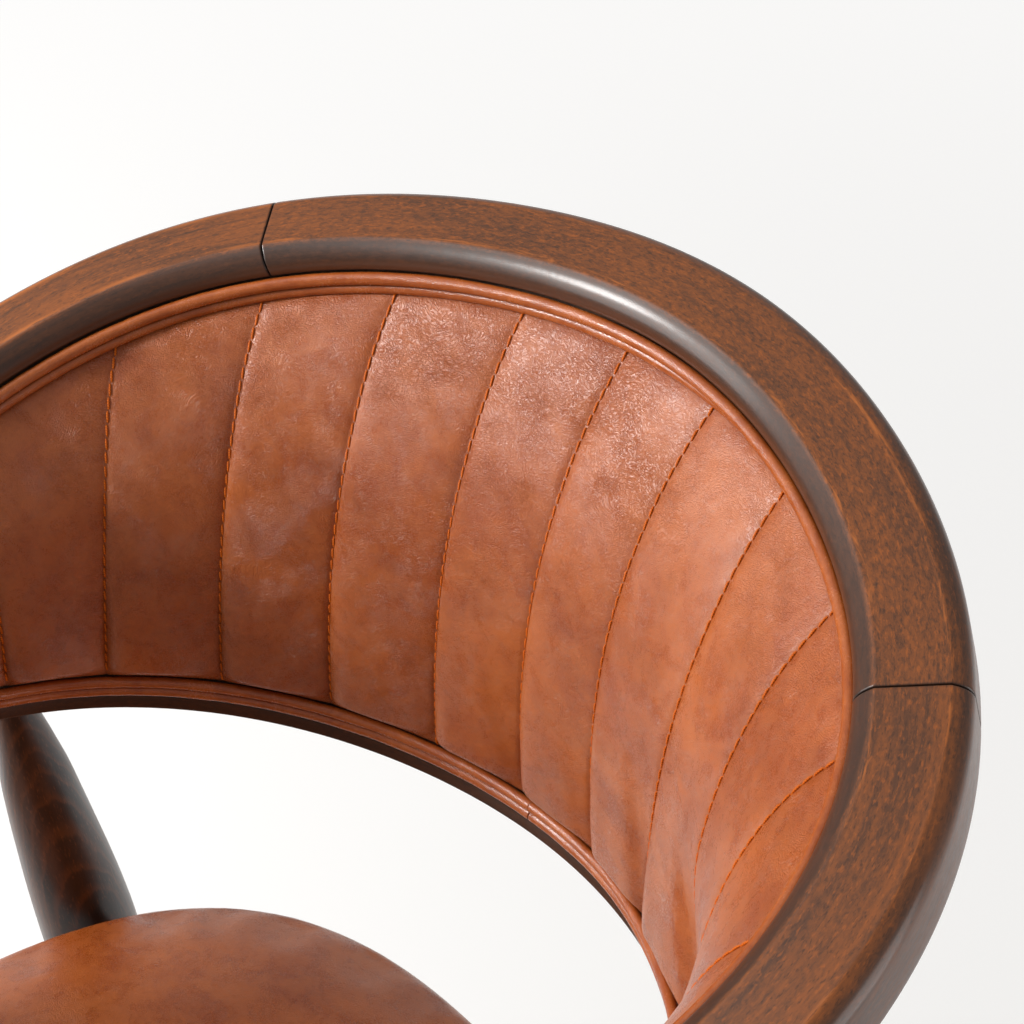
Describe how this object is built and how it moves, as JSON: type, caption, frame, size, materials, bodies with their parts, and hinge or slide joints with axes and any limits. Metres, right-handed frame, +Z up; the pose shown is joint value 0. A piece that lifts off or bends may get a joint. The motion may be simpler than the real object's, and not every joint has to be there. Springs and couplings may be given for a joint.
{
  "type": "barrel back dining armchair",
  "caption": "Dining armchair with a tilted round wooden top rail, a channelled leather barrel back with a woven cane outer face, turned tapered legs and a padded seat.",
  "frame": {"origin": "on the floor under the middle of the chair's overall box", "axes": "+Z up, the chair faces -Y, +X is the sitter's left, which is the right-hand side seen from the front"},
  "size_m": [0.573, 0.5622, 0.8333],
  "materials": {
    "walnut": "dark reddish walnut stain, satin lacquer, lighter worn arrises",
    "leather": "cognac leather, fine pebble grain, low sheen, rust-orange thread",
    "cane": null,
    "beech": "raw",
    "plywood": "raw",
    "steel": "zinc",
    "glide": "matt nylon"
  },
  "bodies": {
    "root": {"hoop_back": "walnut", "hoop_arm_left": "walnut", "hoop_arm_right": "walnut", "joint_dowel_left_inner": "beech", "joint_dowel_left_outer": "beech", "joint_dowel_right_inner": "beech", "joint_dowel_right_outer": "beech", "lower_rail": "walnut", "rail_dowel_left": "beech", "rail_dowel_right": "beech", "back_board": "plywood", "back_pad": "leather", "back_welt_outer": "leather", "back_welt_inner": "leather", "cane_panel": "cane", "cane_spline_top": "cane", "cane_spline_bottom": "cane", "rear_leg_left": "walnut", "rear_leg_right": "walnut", "front_leg_left": "walnut", "front_leg_right": "walnut", "glide_rear_left": "glide", "glide_rear_right": "glide", "glide_front_left": "glide", "glide_front_right": "glide", "seat_rail_front": "walnut", "seat_rail_rear": "walnut", "seat_rail_left": "walnut", "seat_rail_right": "walnut", "corner_block_front_left": "beech", "corner_block_front_right": "beech", "corner_block_rear_left": "beech", "corner_block_rear_right": "beech", "seat_board": "plywood", "seat_cushion": "leather", "seat_screw_front_left": "steel", "seat_screw_front_right": "steel", "seat_screw_rear_left": "steel", "seat_screw_rear_right": "steel"}
  },
  "joints": []
}
